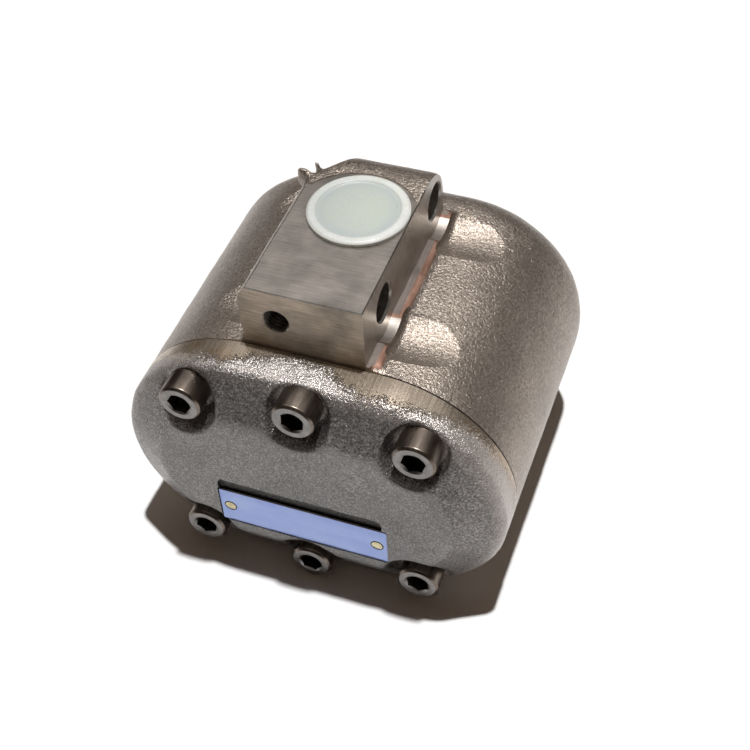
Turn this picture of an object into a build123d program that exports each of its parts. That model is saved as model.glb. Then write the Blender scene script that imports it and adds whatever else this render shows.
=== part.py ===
from build123d import *
import math
import os

# External gear pump with a port block cast on top of a racetrack shaped housing.
# Y runs along the two shafts, from the screwed end cover towards the drive end. Z is up.
# Pieces are drawn with the cover joint at Y 0 and the shaft axes at Z 0, then moved
# so that the origin lies under the middle of the whole pump, on its flat underside.
# All lengths are in millimetres and all angles in degrees.

# Gears
gear_module = 4.0
tooth_count = 12
pressure_angle = 25.0
dedendum_factor = 1.25
tooth_backlash = 0.2
gear_width = 36.0
flank_points = 6
tip_clearance = 0.05
face_clearance = 0.05

# Shafts
journal_radius = 12.0
journal_end_gap = 0.4
drive_shaft_radius = 10.0
shaft_hole_gap = 0.6
shaft_stub = 26.0
shaft_chamfer = 1.0
key_width = 6.0
key_height = 6.0
key_seat_depth = 3.5
key_length = 14.0
key_start = 4.0
key_fit = 0.01
end_groove_gap = 1.2
end_groove_width = 1.3
end_groove_depth = 0.5

# Bearings
bearing_length = 29.0
bearing_block_fit = 0.03
bush_wall = 2.0
bush_fit = 0.02
journal_fit = 0.04

# Balance seals on the outer faces of the bearing blocks
balance_seal_inset = 2.5
balance_seal_width = 2.4
balance_seal_depth = 1.5
balance_seal_fit = 0.02

# Housing
body_wall = 21.45
back_wall = 13.0
back_rounding = 18.0
boss_radius = 28.0
boss_height = 6.0

# Port block
block_left = 26.4
block_right = 18.7
block_rise = 26.7
block_back_wall = 10.2
block_back_rounding = 16.0
block_edge_width = 2.7
block_edge_height = 3.9
corner_cut_width = 5.4
corner_cut_depth = 20.0
strip_width = 5.1
strip_rise = 1.5
strip_front_gap = 1.2
block_root = 14.0

# Cross holes through the port block
cross_hole_radius = 7.0
cross_hole_pitch = 55.0
cross_hole_drop = 13.1
spot_face_radius = 14.2
scallop_radius = 18.5

# Threaded hole in the front face of the port block
lock_hole_radius = 4.25
lock_hole_x = 13.2
lock_hole_chamfer = 0.8

# Ports
port_bore_radius = 15.15
port_bore_depth = 20.0
port_passage_radius = 10.0
port_chamfer = 1.5
suction_bore_radius = 19.5
suction_bore_depth = 17.5
suction_passage_radius = 13.0
suction_chamfer = 1.4

# Shipping plug in the top port
plug_flange_radius = 18.5
plug_flange_thickness = 2.0
plug_fit = 0.1
plug_depth = 12.0
plug_wall = 1.5
plug_dish_radius = 14.8
plug_dish_depth = 0.6

# Cover screws
screw_radius = 5.0
screw_head_radius = 8.0
screw_head_height = 10.0
screw_head_chamfer = 0.6
screw_length = 35.0
screw_socket_flats = 8.0
screw_socket_depth = 5.0
screw_hole_gap = 0.5
screw_thread_gap = 0.05
screw_hole_spare = 2.5
corner_screw_offset = 12.25
corner_screw_angle = 61.8
middle_screw_offset = 13.15

# Dowels between cover and housing
dowel_radius = 3.0
dowel_length = 16.0
dowel_offset = 11.5
dowel_fit = 0.02
dowel_end_gap = 0.5
dowel_chamfer = 0.5

# Face seal between cover and housing
face_seal_section = 2.4
face_seal_land = 2.0
face_seal_side_gap = 0.3
face_seal_fit = 0.02

# End cover
cover_thickness = 13.5
cover_slope = 60.0
cover_rim_rounding = 4.5
pad_rise = 10.5
pocket_gap = 1.8
pocket_draft = 10.0

# Name plate with its two rivets
plate_width = 66.0
plate_height = 17.5
plate_thickness = 0.8
plate_center_x = -1.0
plate_center_z = -17.3
plate_recess_depth = 1.8
plate_side_gap = 0.8
plate_top_gap = 4.2
plate_recess_corner = 2.0
rivet_radius = 1.25
rivet_head_radius = 1.9
rivet_head_height = 0.9
rivet_depth = 5.0
rivet_inset = 3.9
rivet_fit = 0.02

# Shaft seal and its retaining ring
seal_radius = 17.5
seal_width = 7.0
seal_case_wall = 1.0
seal_pocket_depth = 11.0
seal_fit = 0.02
seal_lip_fit = 0.03
seal_lip_land = 0.8
seal_lip_thickness = 1.6
spring_radius = 0.8
ring_thickness = 1.5
ring_radial_width = 2.4
ring_groove_depth = 1.0
ring_fit = 0.1
ring_gap_angle = 34.0
ring_ear_radius = 2.4
ring_ear_hole_radius = 1.0

# Values that follow from the sizes above
pitch_radius = gear_module * tooth_count / 2
tip_radius = pitch_radius + gear_module
root_radius = pitch_radius - dedendum_factor * gear_module
base_radius = pitch_radius * math.cos(math.radians(pressure_angle))
axis_x = pitch_radius
cavity_radius = tip_radius + tip_clearance
cavity_depth = 2 * bearing_length + gear_width + 2 * face_clearance
gear_start = bearing_length + face_clearance
port_y = cavity_depth / 2
body_radius = cavity_radius + body_wall
body_length = cavity_depth + back_wall
boss_face = body_length + boss_height
shaft_end = boss_face + shaft_stub
cover_face = cover_thickness + pad_rise
block_top = body_radius + block_rise
block_back = port_y + cross_hole_pitch / 2 + block_back_wall
cross_hole_z = block_top - cross_hole_drop
front_hole_y = port_y - cross_hole_pitch / 2
back_hole_y = port_y + cross_hole_pitch / 2
strip_top = body_radius + strip_rise
corner_screw_reach = cavity_radius + corner_screw_offset
corner_screw_x = axis_x + corner_screw_reach * math.cos(math.radians(corner_screw_angle))
corner_screw_z = corner_screw_reach * math.sin(math.radians(corner_screw_angle))
middle_screw_z = cavity_radius + middle_screw_offset
screw_spots = [(x, z) for x in (-corner_screw_x, corner_screw_x) for z in (-corner_screw_z, corner_screw_z)]
screw_spots += [(0, -middle_screw_z), (0, middle_screw_z)]
dowel_spots = [(side * (axis_x + cavity_radius + dowel_offset), 0) for side in (-1, 1)]
face_seal_middle = cavity_radius + face_seal_land + face_seal_section / 2 + face_seal_side_gap
rivet_spots = [(plate_center_x + side * (plate_width / 2 - rivet_inset), plate_center_z) for side in (-1, 1)]
plate_back = cover_face - plate_recess_depth
seal_inner_face = boss_face - seal_pocket_depth
seal_outer_face = seal_inner_face + seal_width
middle_y = (shaft_end - cover_face) / 2
clear = 1.0
edge_band = 0.01


def prism(sketch, start, end):
    # Solid between two Y values, from a sketch drawn in X and Z.
    return Pos(0, end, 0) * extrude(Plane.XZ * sketch, end - start)


def rod_y(radius, x, z, start, end):
    # Cylinder along Y.
    return prism(Pos(x, z) * Circle(radius), start, end)


def rod_x(radius, y, z, start, end):
    # Cylinder along X.
    return Pos(start, y, z) * extrude(Plane.YZ * Circle(radius), end - start)


def rod_z(radius, x, y, start, end):
    # Cylinder along Z.
    return Pos(x, y, start) * extrude(Circle(radius), end - start)


def cone_z(start_radius, end_radius, x, y, start, end):
    # Cone along Z, used for chamfered mouths.
    return Pos(x, y, (start + end) / 2) * Cone(start_radius, end_radius, end - start)


def cone_y(start_radius, end_radius, x, z, start, end):
    # Cone along Y. The first radius is at the smaller Y value.
    return Pos(x, (start + end) / 2, z) * Rot(-90, 0, 0) * Cone(start_radius, end_radius, end - start)


def racetrack(radius):
    # Two half circles round the shaft axes, joined by straight lines.
    return SlotCenterToCenter(2 * axis_x, 2 * radius)


def twin_circles(radius):
    # The outline of the two gear bores.
    return Pos(-axis_x, 0) * Circle(radius) + Pos(axis_x, 0) * Circle(radius)


def ring_about_y(points, x):
    # Revolves a closed outline, given as radius and Y, about a shaft axis.
    outline = make_face(Polyline(*[(radius, y, 0) for radius, y in points], close=True))
    return Pos(x, 0, 0) * revolve(outline, Axis.Y)


def box_between(x0, x1, y0, y1, z0, z1):
    # Box given by its limits on each axis.
    return Pos((x0 + x1) / 2, (y0 + y1) / 2, (z0 + z1) / 2) * Box(x1 - x0, y1 - y0, z1 - z0)


def involute(angle):
    # Involute function of an angle in radians.
    return math.tan(angle) - angle


def polar(radius, angle):
    # Point in the gear plane.
    return (radius * math.cos(angle), radius * math.sin(angle))


def gear_outline(turn):
    # Closed spur gear outline. The turn, in radians, is where the first tooth points.
    pitch_half = math.pi / (2 * tooth_count) - tooth_backlash / (4 * pitch_radius)
    start_angle = pitch_half + involute(math.radians(pressure_angle))
    radii = [base_radius + (tip_radius - base_radius) * i / (flank_points - 1) for i in range(flank_points)]
    halves = [start_angle - involute(math.acos(min(1.0, base_radius / radius))) for radius in radii]
    step = 2 * math.pi / tooth_count
    edges = []
    for number in range(tooth_count):
        middle = turn + number * step
        rising = [polar(radius, middle - half) for radius, half in zip(radii, halves)]
        falling = [polar(radius, middle + half) for radius, half in zip(radii, halves)]
        falling.reverse()
        root_in = polar(root_radius, middle - halves[0])
        root_out = polar(root_radius, middle + halves[0])
        next_root = polar(root_radius, middle + step - halves[0])
        edges.append(Line(root_in, rising[0]))
        edges.append(Spline(*rising))
        edges.append(ThreePointArc(rising[-1], polar(tip_radius, middle), falling[0]))
        edges.append(Spline(*falling))
        edges.append(Line(falling[-1], root_out))
        edges.append(ThreePointArc(root_out, polar(root_radius, middle + step / 2), next_root))
    return make_face(Wire(edges))


def gear_with_journals(x, turn):
    # Gear and journals in one piece, as on a real pump.
    teeth = prism(Pos(x, 0) * gear_outline(turn), gear_start, gear_start + gear_width)
    journals = rod_y(journal_radius, x, 0, journal_end_gap, cavity_depth - journal_end_gap)
    return teeth + journals


# Housing: racetrack body, rounded drive end and seal boss
body = prism(racetrack(body_radius), 0, body_length)
back_edges = body.edges().filter_by_position(Axis.Y, body_length - edge_band, body_length + edge_band)
body = fillet(back_edges, back_rounding)
body += rod_y(boss_radius, -axis_x, 0, body_length - clear, boss_face)

# Port block with its cast rounding at the back
block = box_between(-block_left, block_right, 0, block_back, body_radius - block_root, block_top)
back_top_edge = block.edges().filter_by(Axis.X).sort_by(Axis.Z)[-2:].sort_by(Axis.Y)[-1]
block = fillet(back_top_edge, block_back_rounding)
edge_points = [
    (-block_left - clear, block_top + clear),
    (-block_left - clear, block_top - block_edge_height - clear * block_edge_height / block_edge_width),
    (-block_left + block_edge_width + clear * block_edge_width / block_edge_height, block_top + clear),
]
block -= prism(Polygon(*edge_points, align=None), -clear, block_back + clear)
corner_spot = (corner_cut_width - block_left, block_back - corner_cut_depth, block_top)
corner_plane = Plane(origin=corner_spot, z_dir=(-4, 3, 3))
block -= extrude(corner_plane * Rectangle(4 * corner_cut_depth, 4 * corner_cut_depth), 2 * corner_cut_depth)
strip_left = -block_left - strip_width
strip_right = block_right + strip_width
foot = box_between(strip_left, strip_right, strip_front_gap, block_back, body_radius - block_root, strip_top)
housing = body + block + foot

# Clearance for spanners beside the block and the cross holes through it
for hole_y in (front_hole_y, back_hole_y):
    housing -= rod_x(scallop_radius, hole_y, cross_hole_z, strip_right, axis_x + body_radius)
    housing -= rod_x(scallop_radius, hole_y, cross_hole_z, -axis_x - body_radius, strip_left)
    housing -= rod_x(spot_face_radius, hole_y, cross_hole_z, block_right, strip_right + clear)
    housing -= rod_x(spot_face_radius, hole_y, cross_hole_z, strip_left - clear, -block_left)
    housing -= rod_x(cross_hole_radius, hole_y, cross_hole_z, -block_left - clear, block_right + clear)

# Threaded hole from the front face into the front cross hole
lock_mouth = lock_hole_radius + lock_hole_chamfer
housing -= rod_y(lock_hole_radius, -lock_hole_x, cross_hole_z, -clear, front_hole_y)
housing -= cone_y(lock_mouth, lock_hole_radius, -lock_hole_x, cross_hole_z, 0, lock_hole_chamfer)

# Gear chamber and the two ports
housing -= prism(twin_circles(cavity_radius), -clear, cavity_depth)
port_floor = block_top - port_bore_depth
housing -= rod_z(port_bore_radius, 0, port_y, port_floor, block_top + clear)
port_mouth = port_bore_radius + port_chamfer
housing -= cone_z(port_bore_radius, port_mouth, 0, port_y, block_top - port_chamfer, block_top)
housing -= rod_z(port_passage_radius, 0, port_y, 0, port_floor + clear)
suction_floor = suction_bore_depth - body_radius
suction_mouth = suction_bore_radius + suction_chamfer
housing -= rod_z(suction_bore_radius, 0, port_y, -body_radius - clear, suction_floor)
housing -= cone_z(suction_mouth, suction_bore_radius, 0, port_y, -body_radius, suction_chamfer - body_radius)
housing -= rod_z(suction_passage_radius, 0, port_y, suction_floor - clear, 0)

# Screw holes, dowel holes and the face seal groove in the joint face
screw_reach = screw_length - cover_thickness
for x, z in screw_spots:
    housing -= rod_y(screw_radius + screw_thread_gap, x, z, -clear, screw_reach + screw_hole_spare)
dowel_hole_depth = dowel_length / 2 + dowel_end_gap
for x, z in dowel_spots:
    housing -= rod_y(dowel_radius + dowel_fit, x, z, -clear, dowel_hole_depth)
groove_half = face_seal_section / 2 + face_seal_side_gap
groove = racetrack(face_seal_middle + groove_half) - racetrack(face_seal_middle - groove_half)
housing -= prism(groove, -clear, face_seal_section + face_seal_fit)

# Shaft hole, seal pocket and retaining ring groove at the drive end
ring_start = seal_outer_face + ring_fit
ring_end = ring_start + ring_thickness
groove_radius = seal_radius + ring_groove_depth
housing -= rod_y(drive_shaft_radius + shaft_hole_gap, -axis_x, 0, cavity_depth - clear, boss_face + clear)
housing -= rod_y(seal_radius, -axis_x, 0, seal_inner_face, boss_face + clear)
housing -= rod_y(groove_radius, -axis_x, 0, ring_start - ring_fit, ring_end + ring_fit)

# End cover: rim, sloped shoulders up to a flat pad, and a pocket for each screw head
cover = prism(racetrack(body_radius), -cover_thickness, 0)
cover += Pos(0, -cover_thickness, 0) * extrude(Plane.XZ * racetrack(body_radius), pad_rise, taper=cover_slope)
rim_edges = cover.edges().filter_by_position(Axis.Y, -cover_thickness - edge_band, edge_band - cover_thickness)
cover = fillet(rim_edges, cover_rim_rounding)
pocket_radius = screw_head_radius + pocket_gap
pocket_mouth = pocket_radius + pad_rise * math.tan(math.radians(pocket_draft))
for x, z in screw_spots:
    cover -= cone_y(pocket_mouth, pocket_radius, x, z, -cover_face, -cover_thickness)
    cover -= rod_y(screw_radius + screw_hole_gap, x, z, -cover_thickness - clear, clear)
for x, z in dowel_spots:
    cover -= rod_y(dowel_radius + dowel_fit, x, z, -dowel_hole_depth, clear)

# Recess and rivet holes for the name plate
recess_height = plate_height + plate_top_gap + plate_side_gap
recess_z = plate_center_z + (plate_top_gap - plate_side_gap) / 2
recess = RectangleRounded(plate_width + 2 * plate_side_gap, recess_height, plate_recess_corner)
cover -= prism(Pos(plate_center_x, recess_z) * recess, -cover_face - clear, -plate_back)
for x, z in rivet_spots:
    cover -= rod_y(rivet_radius + rivet_fit, x, z, -plate_back - clear, rivet_depth - plate_back)

# Name plate, bare, with two round headed rivets
plate_front = plate_back + plate_thickness
name_plate = prism(Pos(plate_center_x, plate_center_z) * Rectangle(plate_width, plate_height), -plate_front, -plate_back)
rivets = []
for x, z in rivet_spots:
    name_plate -= rod_y(rivet_radius + rivet_fit, x, z, -plate_front - clear, clear - plate_back)
    shank = rod_y(rivet_radius, x, z, -plate_front, rivet_depth - plate_back - rivet_fit)
    head_profile = [
        (0, 0),
        (rivet_head_radius, 0),
        (rivet_head_radius * math.cos(math.radians(30)), rivet_head_height * math.sin(math.radians(30))),
        (rivet_head_radius * math.cos(math.radians(60)), rivet_head_height * math.sin(math.radians(60))),
        (0, rivet_head_height),
    ]
    head_points = [(radius, -plate_front - height) for radius, height in head_profile]
    rivets.append(shank + Pos(0, 0, z) * ring_about_y(head_points, x))

# Cover screws with hexagon sockets
socket = RegularPolygon(screw_socket_flats / 2, 6, major_radius=False)
head_face = -cover_thickness - screw_head_height
cover_screws = []
for x, z in screw_spots:
    screw = rod_y(screw_head_radius, x, z, head_face + screw_head_chamfer, -cover_thickness)
    screw += cone_y(screw_head_radius - screw_head_chamfer, screw_head_radius, x, z, head_face, head_face + screw_head_chamfer)
    screw += rod_y(screw_radius, x, z, -cover_thickness, screw_reach)
    screw -= prism(Pos(x, z) * socket, head_face - clear, head_face + screw_socket_depth)
    cover_screws.append(screw)

# Dowels and face seal
dowel_tip = dowel_length / 2 - dowel_chamfer
dowels = []
for x, z in dowel_spots:
    dowel = rod_y(dowel_radius, x, z, -dowel_tip, dowel_tip)
    dowel += cone_y(dowel_radius - dowel_chamfer, dowel_radius, x, z, -dowel_length / 2, -dowel_tip)
    dowel += cone_y(dowel_radius, dowel_radius - dowel_chamfer, x, z, dowel_tip, dowel_length / 2)
    dowels.append(dowel)
seal_center_y = face_seal_section / 2 + face_seal_fit / 2
seal_path = Pos(0, seal_center_y, 0) * (Plane.XZ * racetrack(face_seal_middle)).wire()
seal_section = Pos(0, seal_center_y, face_seal_middle) * (Plane.YZ * Circle(face_seal_section / 2))
face_seal = sweep(seal_section, path=seal_path)

# Bearing blocks, bushes and balance seals
block_radius = cavity_radius - bearing_block_fit
bush_outer = journal_radius + journal_fit + bush_wall
bush_inner = journal_radius + journal_fit
balance_outer = block_radius - balance_seal_inset
balance_inner = balance_outer - balance_seal_width
balance_sketch = twin_circles(balance_outer) - twin_circles(balance_inner)
groove_outer = balance_outer + balance_seal_fit
groove_inner = balance_inner - balance_seal_fit
balance_groove = twin_circles(groove_outer) - twin_circles(groove_inner)
bearing_sketch = twin_circles(block_radius) - twin_circles(bush_outer + bush_fit)
rear_start = gear_start + gear_width + face_clearance
rear_end = cavity_depth
front_block = prism(bearing_sketch, 0, bearing_length) - prism(balance_groove, -clear, balance_seal_depth)
rear_block = prism(bearing_sketch, rear_start, rear_end)
rear_block -= prism(balance_groove, rear_end - balance_seal_depth, rear_end + clear)
front_balance_seal = prism(balance_sketch, 0, balance_seal_depth)
rear_balance_seal = prism(balance_sketch, rear_end - balance_seal_depth, rear_end)


def bush(x, start, end):
    # Plain bearing bush round a journal.
    return rod_y(bush_outer, x, 0, start, end) - rod_y(bush_inner, x, 0, start - clear, end + clear)


# Gear shafts, with a tooth of one gear facing a gap of the other
drive_x = -axis_x
driven_x = axis_x
half_pitch = math.pi / tooth_count
drive_shaft = gear_with_journals(drive_x, 0)
drive_shaft += rod_y(drive_shaft_radius, drive_x, 0, cavity_depth - journal_end_gap - clear, shaft_end - shaft_chamfer)
tip_cone_radius = drive_shaft_radius - shaft_chamfer
drive_shaft += cone_y(drive_shaft_radius, tip_cone_radius, drive_x, 0, shaft_end - shaft_chamfer, shaft_end)
driven_shaft = gear_with_journals(driven_x, half_pitch)

# Round ended key in its seat
key_near = boss_face + key_start
key_far = key_near + key_length
seat_floor = drive_shaft_radius - key_seat_depth


def key_shape(grow):
    # Round ended key outline, seen from above.
    outline = SlotOverall(key_length + 2 * grow, key_width + 2 * grow, rotation=90)
    return Pos(drive_x, (key_near + key_far) / 2, seat_floor) * extrude(outline, key_height)


drive_shaft -= key_shape(key_fit)
drive_key = key_shape(0)

# Groove for a ring that holds the coupling, with a plain end beyond it
end_groove_near = key_far + end_groove_gap
end_groove_far = end_groove_near + end_groove_width
end_groove = rod_y(drive_shaft_radius + clear, drive_x, 0, end_groove_near, end_groove_far)
end_groove -= rod_y(drive_shaft_radius - end_groove_depth, drive_x, 0, end_groove_near, end_groove_far)
drive_shaft -= end_groove

# Shaft seal: pressed case, rubber lip and garter spring
case_outer = seal_radius - seal_fit
case_inner = case_outer - seal_case_wall
web_start = seal_outer_face - seal_case_wall
lip_radius = drive_shaft_radius + seal_lip_fit
lip_outer = lip_radius + seal_lip_thickness
web_inner = lip_outer + 2 * spring_radius
case_points = [
    (case_outer, seal_inner_face),
    (case_outer, seal_outer_face),
    (web_inner, seal_outer_face),
    (web_inner, web_start),
    (case_inner, web_start),
    (case_inner, seal_inner_face),
]
seal_case = ring_about_y(case_points, drive_x)
lip_tip = seal_inner_face + seal_lip_land
spring_y = lip_tip + 1.5 * spring_radius
lip_points = [
    (lip_radius, lip_tip + seal_lip_land),
    (lip_radius + seal_lip_land, lip_tip),
    (lip_outer, lip_tip),
    (lip_outer, web_start - seal_lip_thickness),
    (case_inner, web_start - seal_lip_thickness),
    (case_inner, web_start),
    (web_inner, web_start),
    (web_inner, seal_outer_face),
    (lip_outer, seal_outer_face),
    (lip_radius + seal_lip_land, web_start),
    (lip_radius + seal_lip_land, spring_y + seal_lip_land),
]
spring_groove = spring_radius + seal_fit
spring_path_radius = lip_outer + spring_radius / 2
seal_lip = ring_about_y(lip_points, drive_x)
seal_lip -= Pos(drive_x, spring_y, 0) * Rot(-90, 0, 0) * Torus(spring_path_radius, spring_groove)
garter_spring = Pos(drive_x, spring_y, 0) * Rot(-90, 0, 0) * Torus(spring_path_radius, spring_radius)

# Retaining ring, open at the bottom, with an eared hole on each side of the gap
ring_outer = groove_radius - ring_fit
ring_inner = ring_outer - ring_radial_width
ring_sketch = Circle(ring_outer) - Circle(ring_inner)
half_gap = math.radians(ring_gap_angle / 2)
gap_reach = 2 * ring_outer
gap_points = [
    (0, 0),
    (-gap_reach * math.sin(half_gap), -gap_reach * math.cos(half_gap)),
    (gap_reach * math.sin(half_gap), -gap_reach * math.cos(half_gap)),
]
ring_sketch -= make_face(Polyline(*gap_points, close=True))
ear_reach = ring_inner
ear_turn = half_gap + ring_ear_radius / ear_reach
for side in (-1, 1):
    ear_spot = (side * ear_reach * math.sin(ear_turn), -ear_reach * math.cos(ear_turn))
    ring_sketch += Pos(*ear_spot) * Circle(ring_ear_radius)
    ring_sketch -= Pos(*ear_spot) * Circle(ring_ear_hole_radius)
retaining_ring = prism(Pos(drive_x, 0) * ring_sketch, ring_start, ring_end)

# Plastic shipping plug in the top port
plug_radius = port_bore_radius - plug_fit
plug = rod_z(plug_flange_radius, 0, port_y, block_top, block_top + plug_flange_thickness)
plug += rod_z(plug_radius, 0, port_y, block_top - plug_depth, block_top)
plug -= rod_z(plug_radius - plug_wall, 0, port_y, block_top - plug_depth - clear, block_top - plug_wall)
dish_floor = block_top + plug_flange_thickness - plug_dish_depth
plug -= rod_z(plug_dish_radius, 0, port_y, dish_floor, dish_floor + clear)

pieces = {
    "housing": [housing],
    "end_cover": [cover],
    "cover_screws": cover_screws,
    "cover_dowels": dowels,
    "cover_face_seal": [face_seal],
    "name_plate": [name_plate],
    "plate_rivets": rivets,
    "front_bearing_block": [front_block],
    "rear_bearing_block": [rear_block],
    "front_drive_bush": [bush(drive_x, 0, bearing_length)],
    "front_driven_bush": [bush(driven_x, 0, bearing_length)],
    "rear_drive_bush": [bush(drive_x, rear_start, rear_end)],
    "rear_driven_bush": [bush(driven_x, rear_start, rear_end)],
    "front_balance_seal": [front_balance_seal],
    "rear_balance_seal": [rear_balance_seal],
    "drive_gear_shaft": [drive_shaft],
    "driven_gear_shaft": [driven_shaft],
    "drive_key": [drive_key],
    "shaft_seal_case": [seal_case],
    "shaft_seal_lip": [seal_lip],
    "seal_garter_spring": [garter_spring],
    "seal_retaining_ring": [retaining_ring],
    "port_plug": [plug],
}

os.makedirs("parts", exist_ok=True)
place = Location((0, -middle_y, body_radius))
for name, shapes in pieces.items():
    solids = [place * solid for shape in shapes for solid in shape.solids()]
    export_step(Compound(children=solids), "parts/" + name + ".step")
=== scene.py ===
import bmesh
import bpy
import math
import numpy as np
from mathutils import Matrix, Vector, noise


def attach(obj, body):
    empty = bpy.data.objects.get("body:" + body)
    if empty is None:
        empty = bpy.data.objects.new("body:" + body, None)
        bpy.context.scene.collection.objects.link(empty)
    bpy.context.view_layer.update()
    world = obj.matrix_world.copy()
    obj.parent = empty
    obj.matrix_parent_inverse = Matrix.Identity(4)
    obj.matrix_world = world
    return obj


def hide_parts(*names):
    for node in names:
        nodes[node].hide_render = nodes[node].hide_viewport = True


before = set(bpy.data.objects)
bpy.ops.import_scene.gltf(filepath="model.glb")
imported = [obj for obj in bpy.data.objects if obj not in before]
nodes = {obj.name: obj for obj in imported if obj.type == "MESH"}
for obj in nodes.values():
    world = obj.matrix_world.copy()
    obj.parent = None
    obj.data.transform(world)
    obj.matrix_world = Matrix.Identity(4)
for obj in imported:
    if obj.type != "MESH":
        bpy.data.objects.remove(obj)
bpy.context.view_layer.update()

# Meshes are drawn in millimetres with the cover joint at Y 0 and the shaft axes at Z 0.
# They are moved to the row frame, in metres, when they are finished.
MM = 0.001
MIDDLE_Y = 57.55
BODY_R = 49.5
AXIS_X = 24.0
TO_ROW = Matrix.Translation((0, -MIDDLE_Y * MM, BODY_R * MM)) @ Matrix.Scale(MM, 4)

BODY_LENGTH = 107.1
BACK_ROUNDING = 18.0
CAVITY_R = 28.05
CAVITY_DEPTH = 94.1
PORT_Y = 47.05
BOSS_R = 28.0
BOSS_FACE = 113.1
BLOCK_LEFT = -26.4
BLOCK_RIGHT = 18.7
BLOCK_TOP = 76.2
BLOCK_BACK = 84.75
BLOCK_ROUNDING = 16.0
STRIP_TOP = 51.0
STRIP_RIGHT = 23.8
STRIP_LEFT = -31.5
HOLE_Z = 63.1
HOLE_Y = (19.55, 74.55)
CROSS_R = 7.0
SPOT_R = 14.2
SCALLOP_R = 18.5
SCALLOP_EDGE = 3.0
LOCK_X = -13.2
LOCK_R = 4.25
LOCK_THREAD_R = 4.95
LOCK_MOUTH = 1.2
PORT_R = 15.15
PORT_MOUTH_R = 16.65
PORT_DEPTH = 20.0
PASSAGE_R = 10.0
SUCTION_R = 19.5
SUCTION_THREAD_R = 20.6
SUCTION_PAD_R = 27.0
SUCTION_PASSAGE_R = 13.0
SEAL_R = 17.5
SEAL_RING_R = 18.5
SEAL_TRACK_R = 31.55
SHAFT_HOLE_R = 10.6
COVER_T = 13.5
PAD_Y = -24.0
JOINT_EDGE = 0.72
DOWEL_X = 63.55
DOWEL_HOLE_R = 3.02
DOWEL_DEPTH = 8.5
SCREW_R = 5.0
SCREW_TIP = 21.5
HEAD_R = 8.0
HEAD_HEIGHT = 10.0
SEAT_R = 8.15
SOCKET_R = 4.62
SOCKET_DEPTH = 5.0
SCREW_SPOTS = [(sx * 43.044, sz * 35.516) for sx in (-1, 1) for sz in (-1, 1)] + [(0, -41.2), (0, 41.2)]
DRIVE_X = -AXIS_X
PLATE_X, PLATE_Z, PLATE_W, PLATE_H = -1.0, -17.3, 66.0, 17.5
PLATE_T = 0.8
PLATE_BACK = PAD_Y + 1.3
PLATE_TOP = PLATE_Z + PLATE_H / 2
RIVET_X = (PLATE_X - 29.1, PLATE_X + 29.1)
RIVET_R = 2.1
RIVET_HOLE_R = 1.27
RIVET_SINK_R = 2.5


# Mesh helpers.
def new_object(name, verts, faces):
    mesh = bpy.data.meshes.new(name)
    mesh.from_pydata([tuple(v) for v in verts], [], faces)
    mesh.validate()
    mesh.update()
    obj = bpy.data.objects.new(name, mesh)
    bpy.context.scene.collection.objects.link(obj)
    return obj


def loft(name, rings, closed=False):
    # Joins rings of equal point count by quads. The ends are capped, or joined if closed.
    count = len(rings[0])
    verts = [p for ring in rings for p in ring]
    faces = []
    pairs = len(rings) if closed else len(rings) - 1
    for r in range(pairs):
        a = r * count
        b = ((r + 1) % len(rings)) * count
        for i in range(count):
            j = (i + 1) % count
            faces.append((a + i, a + j, b + j, b + i))
    if not closed:
        faces.append(tuple(reversed(range(count))))
        faces.append(tuple(range((len(rings) - 1) * count, len(rings) * count)))
    obj = new_object(name, verts, faces)
    fix_normals(obj)
    return obj


def fix_normals(obj):
    bm = bmesh.new()
    bm.from_mesh(obj.data)
    bmesh.ops.recalc_face_normals(bm, faces=bm.faces)
    bm.to_mesh(obj.data)
    bm.free()


def racetrack(radius, y, arc=56):
    # Outline round both shaft axes: two half circles joined by straight sides.
    flat = 16
    points = []
    for i in range(arc):
        t = -math.pi / 2 + math.pi * i / arc
        points.append((AXIS_X + radius * math.cos(t), y, radius * math.sin(t)))
    points += [(AXIS_X - 2 * AXIS_X * i / flat, y, radius) for i in range(flat)]
    for i in range(arc):
        t = math.pi / 2 + math.pi * i / arc
        points.append((-AXIS_X + radius * math.cos(t), y, radius * math.sin(t)))
    points += [(-AXIS_X + 2 * AXIS_X * i / flat, y, -radius) for i in range(flat)]
    return points


def rounded(points, radii, steps):
    # Polyline whose inner corners are rounded. Points and arcs are in a plane.
    out = [points[0]]
    for k in range(1, len(points) - 1):
        p, a, b = Vector(points[k]), Vector(points[k - 1]), Vector(points[k + 1])
        radius = radii[k]
        u, v = (a - p).normalized(), (b - p).normalized()
        half = math.acos(max(-1, min(1, u.dot(v)))) / 2
        if radius <= 0 or half < 1e-3 or half > math.pi / 2 - 1e-3:
            out.append(points[k])
            continue
        reach = radius / math.tan(half)
        middle = p + (u + v).normalized() * (radius / math.sin(half))
        start, end = p + u * reach - middle, p + v * reach - middle
        turn = start.angle_signed(end)
        for s in range(steps + 1):
            t = -turn * s / steps
            c, n = math.cos(t), math.sin(t)
            out.append((middle.x + start.x * c - start.y * n, middle.y + start.x * n + start.y * c))
    out.append(points[-1])
    return out


def along(axis, u, v, w):
    # Point whose coordinate on the axis is w.
    if axis == "X":
        return (w, u, v)
    if axis == "Y":
        return (u, w, v)
    return (u, v, w)


def prism(name, axis, outline, start, end):
    return loft(name, [[along(axis, u, v, w) for u, v in outline] for w in (start, end)])


def lathe(name, axis, center, profile, segments=96):
    # Revolves radius and height pairs about a line along the axis.
    rings = []
    for radius, height in profile:
        ring = []
        for i in range(segments):
            t = 2 * math.pi * i / segments
            ring.append(along(axis, center[0] + radius * math.cos(t), center[1] + radius * math.sin(t), height))
        rings.append(ring)
    return loft(name, rings)


def rod(name, axis, center, radius, start, end, segments=96):
    return lathe(name, axis, center, [(radius, start), (radius, end)], segments)


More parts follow.
